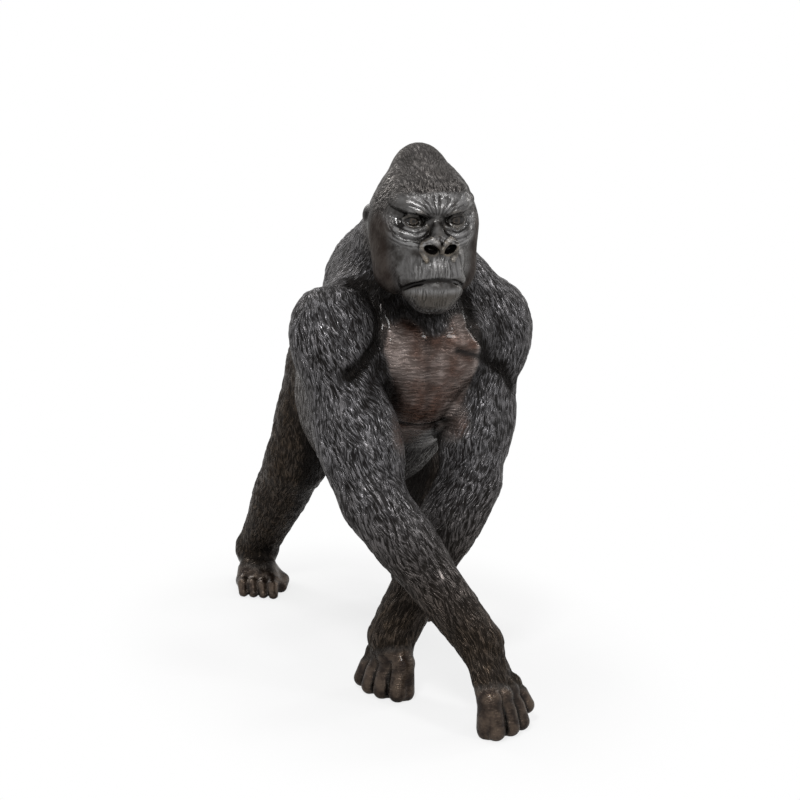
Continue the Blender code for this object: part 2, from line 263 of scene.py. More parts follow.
def leg(points, joints, side):
    hip, knee, ankle = joints
    out = vec(side, 0, 0)
    shin = ankle - knee
    flesh = chain(points, [(hip, THIGH * 1.08), ((hip + knee) / 2, THIGH), (knee, CALF * 1.03)])
    front = muscle(points, hip, knee, THIGH, 0.5, FORWARD - out * 0.1, (0.58, 0.80, 0.72, 0.35))
    flesh = join(flesh, front, THIGH * 0.5)
    lower = chain(points, [
        (knee, CALF * 1.03),
        (knee + shin * 0.35, CALF),
        (knee + shin * 0.75, CALF * 0.82),
        (ankle, CALF * 0.74),
    ])
    flesh = join(flesh, lower, CALF * 0.53)
    back = muscle(points, knee, ankle, CALF, 0.34, FORWARD * -1 - out * 0.15, (0.34, 0.82, 0.76, 0.34))
    return join(flesh, back, CALF * 0.53)


def foot(points, ankle, side):
    size = FOOT_LENGTH
    swing = math.radians(TOE_OUT) * side
    fore = vec(math.sin(swing), -math.cos(swing), 0)
    outer = vec(math.cos(swing), math.sin(swing), 0) * side
    base = vec(ankle[0], ankle[1], 0)
    mid = base + (fore * 0.27 + UP * 0.17) * size
    ball = base + (fore * 0.52 + UP * 0.115) * size
    heel = base + (fore * -0.16 + UP * 0.145) * size
    flesh = taper(points, ankle, heel, size * 0.20, size * 0.165)
    flesh = join(flesh, taper(points, ankle, mid, size * 0.20, size * 0.165), size * 0.11)
    for number in range(3):
        across = outer * (number - 1) * 0.13
        ray = taper(points, mid + across * 0.7 * size, ball + (across * 1.1 - fore * 0.08 * number) * size,
                    size * 0.14, size * 0.105)
        flesh = join(flesh, ray, size * 0.08)
    for number in range(4):
        root = ball + (outer * (number * 0.1 - 0.14) * 1.05 - fore * (0.02 + 0.03 * number)) * size
        knuckle = root + fore * (0.13 - 0.012 * number) * size
        tip = knuckle + (fore * 0.085 - UP * 0.075) * size
        toe = chain(points, [(root, size * 0.075), (knuckle, size * 0.065), (tip, size * 0.052)])
        flesh = join(flesh, toe, size * 0.023)
    root = base + (fore * 0.19 - outer * 0.14 + UP * 0.135) * size
    knuckle = root + (fore * 0.18 - outer * 0.12 - UP * 0.025) * size
    tip = knuckle + (fore * 0.13 + outer * 0.02 - UP * 0.04) * size
    big_toe = chain(points, [(root, size * 0.10), (knuckle, size * 0.08), (tip, size * 0.067)])
    return join(flesh, big_toe, size * 0.046)


def hand(points, wrist, knuckle, heading, side, lift):
    size = FINGER
    flesh = None
    for number in range(4):
        angle = math.radians(heading + 15 * side * number)
        row = vec(math.cos(angle), math.sin(angle), 0)
        dorsal = vec(row[1], -row[0], 0) * side
        rise = lift if number == 3 else 0.0
        thick = 0.59 - 0.033 * number
        middle = knuckle + UP * (0.45 - 0.018 * number + rise) * size
        base = middle + (UP * (1.47 - rise * 0.8) - dorsal * (0.53 + 0.133 * number)) * size
        last = middle - (dorsal * 0.8 + UP * 0.045) * size
        tip = last + (UP * 0.62 - dorsal * 0.09) * size
        palm = taper(points, wrist, base, size * 0.84, size * thick)
        bow = (base + middle) / 2 + dorsal * 0.13 * size
        finger = chain(points, [
            (base, size * thick),
            (bow, size * 0.49),
            (middle, size * (0.5 - 0.018 * number)),
            (last, size * 0.41),
            (tip, size * 0.33),
        ])
        flesh = palm if flesh is None else join(flesh, palm, size * 0.22)
        inside = last + dorsal * 0.3 * size
        fold = taper(points, base + dorsal * 0.1 * size, inside, size * 0.62, size * 0.6)
        flesh = join(flesh, fold, size * 0.1)
        flesh = join(flesh, finger, size * 0.05)
        knuckle = knuckle + row * size
    root = (wrist + base) / 2 - dorsal * 0.27 * size
    bend = base - (dorsal * 0.40 + UP * 0.09) * size
    tip = bend + (row * 0.16 + dorsal * 0.12 - UP * 0.62) * size
    thumb = chain(points, [(root, size * 0.53), (bend, size * 0.38), (tip, size * 0.31)])
    return join(flesh, thumb, size * 0.22)


# Head, in hundredths of its height: x to the animal's left, y back, z up from the eye line

EYE = vec(13.2, -21.3, -1.6)


def skull(face, half):
    body = egg(face, vec(0, 3.2, 0), (28.7, 30, 31))
    body = join(body, taper(face, vec(0, 4, 12), vec(-0.8, 9.2, 27.4), 23.7, 14.5), 13)
    body = join(body, taper(half, vec(17.9, 1.3, -6.3), vec(15.8, -2.1, -31), 14.7, 15.3), 10.5)
    body = join(body, egg(face, vec(0, -18, -25), (18.9, 18.9, 15.3)), 8)
    return join(body, egg(face, vec(0, -19, -43.4), (15.8, 15.3, 13.2)), 8)


def brow_and_eyes(half, body):
    body = join(body, taper(half, vec(0, -21, 11.6), vec(13.2, -19, 13.2), 6.3, 6.3), 8)
    ridge = chain(half, [
        ((0, -25.8, 4.2), 5.2),
        ((9, -27.1, 5.6), 5.9),
        ((15.3, -24, 8.2), 5.5),
        ((21, -17.4, 10), 4.5),
    ])
    body = join(body, ridge, 2.6)
    body = cut(body, egg(half, vec(13.2, -29.5, -2.1), (7.4, 11.6, 4.6)), 2.1)
    body = join(body, egg(half, EYE, (4.3, 4.3, 4.3)), 0.3)
    under = chain(half, [
        ((8.2, -23.7, -2.1), 0.9),
        ((10.5, -25.3, -4.3), 0.9),
        ((13.2, -25.8, -5.1), 1.1),
        ((16.1, -24.7, -4.3), 0.9),
        ((18.4, -22.1, -2.1), 0.9),
    ])
    body = join(body, under, 1.1)
    over = chain(half, [
        ((8.2, -23.7, -1.8), 0.9),
        ((10.8, -25.5, 1.1), 1.1),
        ((15.3, -25.3, 1.6), 1.1),
        ((18.7, -21.8, -0.8), 0.9),
    ])
    body = join(body, over, 1.1)
    bags = chain(half, [((6.8, -25.3, -6.3), 1.6), ((12.6, -25, -9.5), 2.2), ((19.5, -21.1, -7.6), 2.2)])
    body = join(body, bags, 3.4)
    cheek = chain(half, [((9, -23.7, -12), 3.2), ((16.8, -19.5, -12), 4.7), ((24, -12, -5.5), 4.5)])
    return join(body, cheek, 5.3)


def nose(face, half, body):
    body = join(body, taper(face, vec(0, -23.7, 0.5), vec(0, -33.2, -11), 3.2, 4), 3.2)
    body = join(body, egg(half, vec(4.7, -32.6, -15.8), (6.6, 6.3, 6.3)), 2.6)
    rim = chain(half, [
        ((0, -39.7, -18.4), 1.7),
        ((2.6, -39.5, -13.7), 1.9),
        ((5.8, -38.4, -11), 1.9),
        ((9.5, -35.3, -13.2), 1.9),
        ((10.5, -34, -18.4), 1.7),
        ((8.0, -35.8, -23.6), 1.4),
    ])
    body = join(body, rim, 1.2)
    return cut(body, egg(half, vec(5.7, -40, -17.2), (4.5, 7.9, 2.6), turned(20, 1)), 0.8)


def mouth(half, body):
    upper = chain(half, [((0, -33.7, -29.5), 5.5), ((10, -29, -31.6), 5.3), ((15.8, -20, -36.3), 3.9)])
    lower = chain(half, [((0, -32, -40), 4.7), ((9, -28, -41.6), 4.5), ((14.2, -19.5, -43.4), 3.7)])
    body = join(join(body, upper, 3.2), lower, 3.2)
    slit = chain(half, [
        ((0, -37.9, -35.1), 1.2),
        ((7.9, -35.3, -35.8), 1.2),
        ((13.7, -27.4, -38), 1.2),
        ((18.2, -20.4, -40.9), 1.0),
    ])
    return cut(body, slit, 1.1)


def ears(half, body):
    shell = egg(half, vec(31.2, 6.3, -0.5), (3.0, 5.3, 6.8), turned(32, 2))
    shell = cut(shell, egg(half, vec(33, 3.2, -0.5), (2.4, 3.2, 4.2)), 1.1)
    return join(body, shell, 1.6)


def face_points(points):
    """Head coordinates of points, and the same with the two halves folded onto one."""
    face = (points - HEAD) @ turned(HEAD_TURN, 2) / (HEAD_HEIGHT / 100)
    return face, np.column_stack([np.abs(face[:, 0]), face[:, 1], face[:, 2]])


def head(points):
    face, half = face_points(points)
    body = skull(face, half)
    body = brow_and_eyes(half, body)
    body = nose(face, half, body)
    body = mouth(half, body)
    return ears(half, body) * (HEAD_HEIGHT / 100)


# Whole animal

def blend_near(points, body, centre, reach, shape, soft):
    close = lengths(points - centre) < reach
    if close.any():
        body[close] = join(body[close], shape(points[close]), soft)
    return body


def animal(points):
    body = trunk(points)
    for joints, side in ((RIGHT_LEG, -1), (LEFT_LEG, 1)):
        ankle = joints[2]
        body = join(body, leg(points, joints, side), THIGH * 0.5)
        sole = vec(ankle[0], ankle[1] - FOOT_LENGTH * 0.2, ankle[2] / 2)
        body = blend_near(points, body, sole, FOOT_LENGTH * 1.25,
                          lambda near: foot(near, ankle, side), FOOT_LENGTH * 0.08)
    sides = (
        (RIGHT_ARM, -1, RIGHT_WRIST, 0.08, RIGHT_KNUCKLE, RIGHT_ROW, 0.53),
        (LEFT_ARM, 1, LEFT_WRIST, -0.2, LEFT_KNUCKLE, LEFT_ROW, 0.13),
    )
    for joints, side, wrist_radius, bow, knuckle, heading, lift in sides:
        wrist = joints[2]
        limb = arm(points, joints, side, wrist_radius, bow)
        limb = blend_near(points, limb, (wrist + knuckle) / 2, FINGER * 6,
                          lambda near: hand(near, wrist, knuckle, heading, -side, lift), FINGER * 0.45)
        body = join(body, limb, UPPER_ARM * 0.25)
    body = blend_near(points, body, HEAD, HEAD_HEIGHT * 0.95, head, HEAD_HEIGHT * 0.1)
    return np.maximum(body, -points[:, 2])


# Skin

def skin_grid(shape, low, high, pitch, block=8):
    count = np.ceil((high - low) / pitch / block).astype(int)
    cells = np.stack(np.meshgrid(*[np.arange(n) for n in count], indexing="ij"), -1).reshape(-1, 3)
    coarse = shape(low + (cells + 0.5) * block * pitch)
    band = 3 * pitch
    values = np.empty(count * block, np.float32)
    blocks = values.reshape(count[0], block, count[1], block, count[2], block).transpose(0, 2, 4, 1, 3, 5)
    blocks[:] = np.where(coarse > 0, band, -band).reshape(tuple(count) + (1, 1, 1))
    close = cells[np.abs(coarse) < block * pitch * 1.1 + pitch]
    inner = np.stack(np.meshgrid(*[np.arange(block)] * 3, indexing="ij"), -1).reshape(-1, 3)
    for group in np.array_split(close, max(1, len(close) // 400)):
        nodes = low + (group[:, None, :] * block + inner) * pitch
        found = np.clip(shape(nodes.reshape(-1, 3)), -band, band)
        blocks[group[:, 0], group[:, 1], group[:, 2]] = found.reshape(len(group), block, block, block)
    return values


def skin(shape, low, high, pitch):
    grid = openvdb.FloatGrid(3 * pitch)
    grid.copyFromArray(skin_grid(shape, low, high, pitch))
    grid.transform = openvdb.createLinearTransform(voxelSize=pitch)
    points, quads = grid.convertToQuads()
    return points + low, quads


def slope(points, reach=0.0012):
    """Gradient of the distance, outwards."""
    found = np.empty_like(points)
    for axis in range(3):
        offset = np.zeros(3)
        offset[axis] = reach
        found[:, axis] = (animal(points + offset) - animal(points - offset)) / (2 * reach)
    return found


def curvature(points, reach=0.006):
    """Twice the mean curvature: 2 / r on a ball, negative in hollows."""
    total = -6 * animal(points)
    for axis in range(3):
        offset = np.zeros(3)
        offset[axis] = reach
        total += animal(points + offset) + animal(points - offset)
    return total / reach**2


def coordinates(mesh):
    spots = np.empty(len(mesh.vertices) * 3, np.float32)
    mesh.vertices.foreach_get("co", spots)
    return spots.reshape(-1, 3).astype(float)


def move(mesh, spots):
    mesh.vertices.foreach_set("co", spots.astype(np.float32).ravel())
    mesh.update()


def outward(mesh):
    found = np.empty(len(mesh.vertices) * 3, np.float32)
    mesh.vertices.foreach_get("normal", found)
    return found.reshape(-1, 3).astype(float)


def subdivided(mesh, chosen):
    """Split the quads round the chosen vertices in four."""
    work = bmesh.new()
    work.from_mesh(mesh)
    work.verts.ensure_lookup_table()
    inside = set(np.flatnonzero(chosen(coordinates(mesh))).tolist())
    edges = [e for e in work.edges if e.verts[0].index in inside and e.verts[1].index in inside]
    bmesh.ops.subdivide_edges(work, edges=edges, cuts=1, use_grid_fill=True)
    bmesh.ops.triangulate(work, faces=[f for f in work.faces if len(f.verts) > 4])
    work.to_mesh(mesh)
    work.free()


def is_fine(spots):
    """Front of the head and both fists."""
    face, half = face_points(spots)
    close = (face[:, 1] < 2) & (face[:, 1] > -60) & (half[:, 0] < 30)
    close &= (face[:, 2] > -56) & (face[:, 2] < 20)
    for centre, reach in ((RIGHT_KNUCKLE, FINGER * 4.4), (LEFT_KNUCKLE, FINGER * 4.2)):
        close |= lengths(spots - centre) < reach
    return close


def is_face(spots):
    """Brows, eyes, nose and mouth."""
    face, half = face_points(spots)
    close = (face[:, 1] < -13) & (face[:, 1] > -60) & (half[:, 0] < 24)
    return close & (face[:, 2] > -44) & (face[:, 2] < 15)


# Where the hair grows and which way it lies: place, direction, reach

HAIR_FLOW = (
    ((-0.02, -0.46, 1.25), (0, 0.25, 1), 0.05),
    ((-0.02, -0.36, 1.30), (0, 1, 0.3), 0.05),
    ((-0.02, -0.25, 1.22), (0, 0.7, -0.8), 0.07),
    ((-0.12, -0.36, 1.15), (0, 0.6, -0.9), 0.06),
    ((0.10, -0.36, 1.15), (0, 0.6, -0.9), 0.06),
    ((-0.10, -0.40, 1.02), (-0.1, 0.35, -1), 0.05),
    ((0.08, -0.40, 1.02), (0.1, 0.35, -1), 0.05),
    ((-0.01, -0.45, 0.94), (0, 0.3, -1), 0.06),
    ((-0.10, -0.20, 1.03), (-0.8, 0.2, -0.5), 0.07),
    ((0.12, -0.20, 1.05), (0.8, 0.2, -0.5), 0.07),
    ((-0.24, -0.28, 0.92), (0.35, -0.1, -1), 0.07),
    ((-0.17, -0.36, 0.72), (0.55, -0.1, -1), 0.09),
    ((-0.14, -0.42, 0.52), (0.5, -0.2, -1), 0.08),
    ((-0.03, -0.50, 0.36), (0.70, -0.4, -1), 0.09),
    ((0.06, -0.57, 0.20), (0.4, -0.4, -1), 0.08),
    ((0.25, -0.20, 0.92), (0.25, -0.1, -1), 0.08),
    ((0.22, -0.22, 0.72), (-0.25, -0.1, -1), 0.09),
    ((0.17, -0.28, 0.52), (-0.55, -0.1, -1), 0.08),
    ((0.05, -0.30, 0.33), (-0.65, 0, -1), 0.09),
    ((-0.06, -0.32, 0.17), (-0.3, -0.1, -1), 0.07),
    ((0.00, -0.05, 1.05), (0, 1, -0.4), 0.10),
    ((0.00, 0.15, 0.93), (0, 1, -0.3), 0.14),
    ((-0.17, 0.05, 0.75), (0, 0.6, -1), 0.14),
    ((0.17, 0.05, 0.75), (0, 0.6, -1), 0.14),
    ((0.00, 0.45, 0.83), (0, 1, -0.6), 0.12),
    ((0.00, -0.20, 0.62), (0, 0.3, -1), 0.08),
    ((0.00, 0.10, 0.42), (0, 0.4, -0.6), 0.14),
    ((-0.09, 0.50, 0.55), (-0.2, 0.1, -1), 0.12),
    ((-0.16, 0.65, 0.25), (-0.2, 0.5, -1), 0.12),
    ((0.12, 0.30, 0.52), (0.2, -0.4, -1), 0.12),
    ((0.17, 0.33, 0.25), (0.1, 0.4, -1), 0.12),
)


def hair_direction(spots, normals):
    total = np.zeros_like(spots)
    for place, direction, reach in HAIR_FLOW:
        gap = lengths(spots - place) / reach
        total += unit(vec(*direction)) / (1 + gap**2)[:, None] ** 2
    total -= normals * np.einsum("ij,ij->i", total, normals)[:, None]
    return normalised(total)


def rough_edge(spots, scale):
    """Wavy number from -1 to 1 that frays the borders of the hair."""
    a = np.sin(spots[:, 0] * scale + 1.3 * np.sin(spots[:, 2] * scale * 0.7))
    b = np.sin(spots[:, 2] * scale * 1.31 + 1.1 * np.sin(spots[:, 1] * scale * 0.9) + 2)
    c = np.sin(spots[:, 1] * scale * 1.17 + 1.7 * np.sin(spots[:, 0] * scale * 0.8) + 4)
    return (a + b + c) / 3


def regions(spots):
    """Bare skin of the face, chest, hands, feet and ears, each from 0 to 1."""
    face, half = face_points(spots)
    x, y, z = face.T
    fray = rough_edge(spots, 60)
    limit = np.interp(z, (-56, -44, -30, -12, 0, 10, 15, 19), (6, 15, 21, 22, 24, 22, 19, 8))
    hairline = 14.5 + 1.6 * rough_edge(spots, 150)
    bare = step(limit - np.abs(x), -6, 2) * step(-y, 3, 10) * step(z, -58, -50)
    bare *= (1 - step(z - hairline, -1.6, 1.6)) * (lengths(face) < 80)
    x, y, z = spots.T
    width = np.interp(z, (0.56, 0.62, 0.72, 0.84, 0.92), (0.07, 0.10, 0.115, 0.135, 0.10))
    collar = 0.90 - 0.030 * np.exp(-((x - 0.01) / 0.05) ** 2)
    chest = step(width - np.abs(x - 0.008) + fray * 0.012, -0.012, 0.012)
    chest *= step(z + fray * 0.015, 0.550, 0.580) * (1 - step(z + fray * 0.02 - collar, -0.012, 0.012))
    chest *= step(-y, 0.13, 0.16)
    right_arm = taper(spots, RIGHT_ARM[0], RIGHT_ARM[1], 0.1, 0.09)
    left_arm = taper(spots, LEFT_ARM[0], LEFT_ARM[1], 0.1, 0.09)
    chest *= step(np.minimum(right_arm, left_arm), -0.004, 0.012)
    hands = np.zeros(len(spots))
    for joints, knuckle, share in ((RIGHT_ARM, RIGHT_KNUCKLE, 0.55), (LEFT_ARM, LEFT_KNUCKLE, 0.30)):
        wrist = joints[2]
        middle = knuckle + UP * FINGER * 0.5
        axis = unit(middle - wrist)
        along = (spots - wrist) @ axis / np.linalg.norm(middle - wrist)
        near = lengths(spots - (wrist + middle) / 2) < 0.2
        hands = np.maximum(hands, near * step(along + fray * 0.04, share - 0.08, share + 0.06))
    feet = (1 - step(z + fray * 0.01, 0.06, 0.085)) * (y > 0.0)
    ear = np.exp(-(lengths(half - vec(31, 5, -0.5)) / 8) ** 4)
    return {"face": bare, "chest": chest, "hand": hands, "foot": feet, "ear": ear}


def furred(masks):
    return 1 - np.maximum.reduce(list(masks.values()))


def around_head(spots):
    """Head with its short hair, and its cheeks by the jaw, each from 0 to 1."""
    face = face_points(spots)[0]
    whole = 1 - step(lengths(face - vec(0, 0, 8)), 42, 56)
    jaw = step(face[:, 2], -54, -46) * (1 - step(face[:, 2], -4, 8)) * (1 - step(face[:, 1], 3, 13))
    return whole, jaw * (lengths(face) < 75)


# Relief of the skin

def locks(spots, normals, flow, fur):
    """Raised strokes of hair: each one swells from its root and ends in a blunt tip."""
    tree = KDTree(len(spots))
    for index, spot in enumerate(spots):
        tree.insert(spot, index)
    tree.balance()
    height = np.zeros(len(spots))
    for index in rng.choice(len(spots), size=LOCK_COUNT, replace=False):
        if fur[index] < 0.3:
            continue
        length = rng.uniform(0.026, 0.044)
        width = rng.uniform(0.0045, 0.0075)
        tall = rng.uniform(0.6, 1.0)
        lean = rng.uniform(-0.25, 0.25)
        direction = flow[index] + np.cross(normals[index], flow[index]) * lean
        near = np.array([item[1] for item in tree.find_range(spots[index], length * 0.55)])
        local = spots[near] - spots[index]
        u = local @ direction / length + 0.5
        v = (local @ np.cross(normals[index], direction)) / width
        profile = np.clip(1 - v * v, 0, None) * step(u, 0, 0.55) * (1 - step(u, 0.86, 1.0)) * tall
        facing = normals[near] @ normals[index] > 0.2
        height[near] = np.maximum(height[near], profile * facing)
    return height * fur


# Furrows of the face: x and z of their stations in head coordinates, width, depth

FURROWS = (
    (((2.0, 12.2), (1.0, 7.7), (0.6, 2.0)), 0.55, 1.3),
    (((7.5, 11.2), (4.3, 7.4), (2.4, 2.0)), 0.6, 1.5),
    (((12.4, 10.0), (7.5, 6.6), (4.1, 2.4)), 0.6, 1.3),
    (((16.5, 7.6), (9.5, 5.0), (5.2, 1.6)), 0.55, 1.0),
    (((7.5, 14.6), (13.0, 13.6), (18.0, 13.4), (22.5, 11.5)), 0.9, 0.4),
    (((24.0, 1.2), (20.4, -0.2), (18.5, -1.6)), 0.5, 0.7),
    (((24.5, -3.3), (22.3, -4.1), (18.4, -4.5)), 0.5, 0.6),
    (((7.5, -7.3), (12.5, -9.0), (18.5, -7.0), (22.5, -3.5)), 0.6, 1.0),
    (((6.5, -9.8), (12.0, -12.6), (19.0, -11.0), (25.0, -7.6)), 0.6, 1.0),
    (((2.9, -2.6), (5.0, -9.2), (9.5, -11.6)), 0.6, 0.9),
    (((23.5, -10.0), (19.6, -15.4), (15.4, -18.6)), 0.8, 0.5),
    (((12.4, -21.1), (14.5, -27.4), (15.5, -33.2)), 0.9, 0.9),
    (((9.6, -24.1), (10.3, -28.9), (11.3, -32.9)), 0.55, 0.8),
    (((5.4, -23.6), (6.0, -27.8), (7.9, -32.7)), 0.55, 0.7),
    (((2.0, -24.0), (2.2, -31.0)), 0.5, 0.6),
    (((0.0, -10.5), (0.0, -16.0)), 0.5, 0.5),
)


def creases(spots):
    """Depth of the furrows of the face, in metres."""
    face, half = face_points(spots)
    depth = np.zeros(len(spots))
    close = (lengths(face) < 75) & (face[:, 1] < 0)
    flat = half[close] * vec(1, 0, 1)
    for stations, width, deep in FURROWS:
        gap = chain(flat, [((x, 0, z), 0.0) for x, z in stations]) / width
        depth[close] += deep * FURROW_DEPTH * np.exp(-gap * gap)
    return depth


# Borders of the great muscles: points on the skin, width and depth in metres, a minus sign where raised

FOLDS = (
    (((-0.153, -0.260, 0.977), (-0.124, -0.277, 0.966), (-0.103, -0.297, 0.931), (-0.097, -0.316, 0.892),
      (-0.109, -0.327, 0.841), (-0.144, -0.354, 0.810), (-0.186, -0.372, 0.785)), 0.014, 0.012),
    (((-0.186, -0.372, 0.785), (-0.221, -0.364, 0.799), (-0.253, -0.345, 0.820)), 0.016, 0.0025),
    (((0.090, -0.360, 0.985), (0.122, -0.265, 0.934), (0.121, -0.307, 0.874), (0.159, -0.296, 0.810),
      (0.214, -0.258, 0.762), (0.245, -0.234, 0.716)), 0.014, 0.011),
    (((0.073, -0.331, 0.840), (0.106, -0.323, 0.842), (0.146, -0.305, 0.822), (0.186, -0.265, 0.786)),
     0.010, -0.004),
    (((0.080, -0.328, 0.822), (0.123, -0.316, 0.808), (0.172, -0.271, 0.783), (0.201, -0.260, 0.763)),
     0.009, 0.006),
    (((-0.097, -0.324, 0.801), (-0.127, -0.358, 0.767), (-0.150, -0.394, 0.723)), 0.014, 0.0035),
    (((0.007, -0.327, 0.860), (0.007, -0.335, 0.803), (0.014, -0.313, 0.730), (0.018, -0.273, 0.652)),
     0.010, 0.0022),
    (((-0.060, -0.262, 0.650), (-0.029, -0.261, 0.640), (0.010, -0.260, 0.634), (0.051, -0.254, 0.639),
      (0.090, -0.255, 0.655)), 0.007, 0.0045),
)


def folds(spots):
    """Depth of the borders of the muscles, in metres."""
    depth = np.zeros(len(spots))
    for stations, width, deep in FOLDS:
        gap = chain(spots, [(place, 0.0) for place in stations]) / width
        depth += deep * np.exp(-gap * gap)
    return depth


def eye_rings(spots):
    """Fine wrinkles that run round the lower and outer side of each eye."""
    face, half = face_points(spots)
    x = half[:, 0] - EYE[0]
    z = (face[:, 2] - EYE[2]) * EYE_STRETCH
    reach = np.sqrt(x * x + z * z)
    below = step(0.55 * x - z - 0.15 * reach, -1, 3)
    wave = 0.5 - 0.5 * np.cos(2 * np.pi * reach / 1.7 + 1.2 * np.sin(x * 0.5) + 0.8 * rough_edge(spots, 90))
    band = step(reach, 5.0, 6.2) * (1 - step(reach, 12.5, 16))
    near = (face[:, 1] < -8) & (lengths(face) < 60)
    return wave * band * below * near


def chest_lines(spots, chest):
    """Depth of the shallow lines across the chest, in metres."""
    x, z = spots[:, 0], spots[:, 2]
    wave = np.sin(z * 2 * np.pi / 0.011 + 1.5 * np.sin(x * 30) + 2.0 * rough_edge(spots, 45))
    return chest * np.clip(wave, 0, 1) * CHEST_LINE_DEPTH


def fine_lines(spots):
    """Coordinate across the finest wrinkles of the face, in head units, and where they show."""
    face, half = face_points(spots)
    x, z = half[:, 0], face[:, 2]
    front = (face[:, 1] < -6) & (lengths(face) < 75)
    round_eye = np.sqrt((x - EYE[0]) ** 2 + ((z - EYE[2]) * EYE_STRETCH) ** 2)
    below = step(0.55 * (x - EYE[0]) - (z - EYE[2]) - 0.15 * round_eye, -1, 3)
    eye = step(round_eye, 4.6, 5.6) * (1 - step(round_eye, 15, 20)) * below
    fan = step(z, 1.5, 3.5) * (1 - step(z, 13, 16)) * (1 - step(x, 12, 24)) * 0.6
    lip = step(-z, 20, 24) * (1 - step(-z, 33.5, 35.5)) * (1 - step(x, 14, 20)) * 0.6
    chin = step(-z, 39, 42) * (1 - step(-z, 53, 58)) * (1 - step(x, 12, 18)) * 0.8
    shows = [eye > 0.02, fan > 0.02, lip > 0.02]
    runs = [round_eye, np.arctan2(face[:, 0], z + 9) * 13, face[:, 0] * 1.2]
    across = np.select(shows, runs, face[:, 0] * 1.6)
    return across, np.maximum.reduce([eye, fan, lip, chin]) * front


def build_skin():
    """The whole animal as one mesh, with the relief of hair, furrows and folds."""
    low, high = vec(-0.42, -0.80, -0.04), vec(0.42, 0.96, 1.40)
    points, quads = skin(animal, low, high, PITCH)
    mesh = bpy.data.meshes.new("gorilla_skin")
    mesh.from_pydata(points.tolist(), [], quads.tolist())
    mesh.update()
    if outward(mesh)[np.argmax(points[:, 2])][2] < 0:
        mesh.flip_normals()
    subdivided(mesh, is_fine)
    subdivided(mesh, is_face)
    spots = coordinates(mesh)
    for _ in range(2):
        grade = slope(spots)
        spots -= grade * (animal(spots) / np.maximum(np.einsum("ij,ij->i", grade, grade), 0.2))[:, None]
    normals = normalised(slope(spots))
    masks = regions(spots)
    fur = furred(masks)
    soft = locks(spots, normals, hair_direction(spots, normals), fur)
    grounded = step(spots[:, 2], 0.002, 0.02)
    calm = np.maximum.reduce(around_head(spots))
    raised = (soft * LOCK_HEIGHT - LOCK_SINK) * grounded * fur * (1 - 0.75 * calm)
    sunk = creases(spots) + chest_lines(spots, masks["chest"]) + folds(spots) + eye_rings(spots) * RING_DEPTH
    raised -= sunk
    spots += normals * raised[:, None]
    spots[:, 2] = np.maximum(spots[:, 2], 0)
    move(mesh, spots)
    return mesh


def thinned(mesh, triangles):
    body = bpy.data.objects.new("draft", mesh)
    bpy.context.scene.collection.objects.link(body)
    thin = body.modifiers.new("thin", "DECIMATE")
    mesh.calc_loop_triangles()
    thin.ratio = min(1.0, triangles / len(mesh.loop_triangles))
    result = bpy.data.meshes.new_from_object(body.evaluated_get(bpy.context.evaluated_depsgraph_get()))
    bpy.data.objects.remove(body)
    result.name = "gorilla_skin"
    return result


def set_vector(mesh, name, rows):
    layer = mesh.attributes.new(name, "FLOAT_VECTOR", "POINT")
    layer.data.foreach_set("vector", rows.astype(np.float32).ravel())


def set_number(mesh, name, values):
    layer = mesh.attributes.new(name, "FLOAT", "POINT")
    layer.data.foreach_set("value", values.astype(np.float32))


# Bronze

class Nodes:
    """Short way to add and link shader nodes."""

    def __init__(self, owner):
        owner.use_nodes = True
        self.tree = owner.node_tree
        self.shader = self.tree.nodes.get("Principled BSDF")

    def add(self, kind, settings=None, **inputs):
        node = self.tree.nodes.new(kind)
        for key, value in (settings or {}).items():
            setattr(node, key, value)
        for key, value in inputs.items():
            self.plug(node.inputs[key.replace("_", " ")], value)
        return node

    def plug(self, socket, value):
        if isinstance(value, bpy.types.NodeSocket):
            self.tree.links.new(value, socket)
        else:
            socket.default_value = value

    def math(self, operation, *values, clamp=False):
        node = self.tree.nodes.new("ShaderNodeMath")
        node.operation = operation
        node.use_clamp = clamp
        for socket, value in zip(node.inputs, values):
            self.plug(socket, value)
        return node.outputs[0]

    def times(self, first, second):
        return self.math("MULTIPLY", first, second)

    def vector(self, operation, *values):
        node = self.tree.nodes.new("ShaderNodeVectorMath")
        node.operation = operation
        for socket, value in zip(node.inputs, values):
            self.plug(socket, value)
        name = "Value" if operation in ("DOT_PRODUCT", "LENGTH", "DISTANCE") else "Vector"
        return node.outputs[name]

    def ramp(self, value, low, high, start=0.0, end=1.0):
        node = self.tree.nodes.new("ShaderNodeMapRange")
        node.interpolation_type = "SMOOTHSTEP"
        for socket, item in zip(node.inputs, (value, low, high, start, end)):
            self.plug(socket, item)
        return node.outputs["Result"]

    def mix(self, share, first, second):
        node = self.tree.nodes.new("ShaderNodeMix")
        node.data_type = "RGBA"
        self.plug(node.inputs[0], share)
        self.plug(node.inputs[6], first)
        self.plug(node.inputs[7], second)
        return node.outputs[2]

    def mix_number(self, share, first, second):
        node = self.tree.nodes.new("ShaderNodeMix")
        self.plug(node.inputs[0], share)
        self.plug(node.inputs[2], first)
        self.plug(node.inputs[3], second)
        return node.outputs[0]

    def attribute(self, name):
        node = self.tree.nodes.new("ShaderNodeAttribute")
        node.attribute_name = name
        return node

    def noise(self, coordinates, scale, detail=2.0, roughness=0.5):
        node = self.tree.nodes.new("ShaderNodeTexNoise")
        self.plug(node.inputs["Vector"], coordinates)
        node.inputs["Scale"].default_value = scale
        node.inputs["Detail"].default_value = detail
        node.inputs["Roughness"].default_value = roughness
        return node.outputs[0]


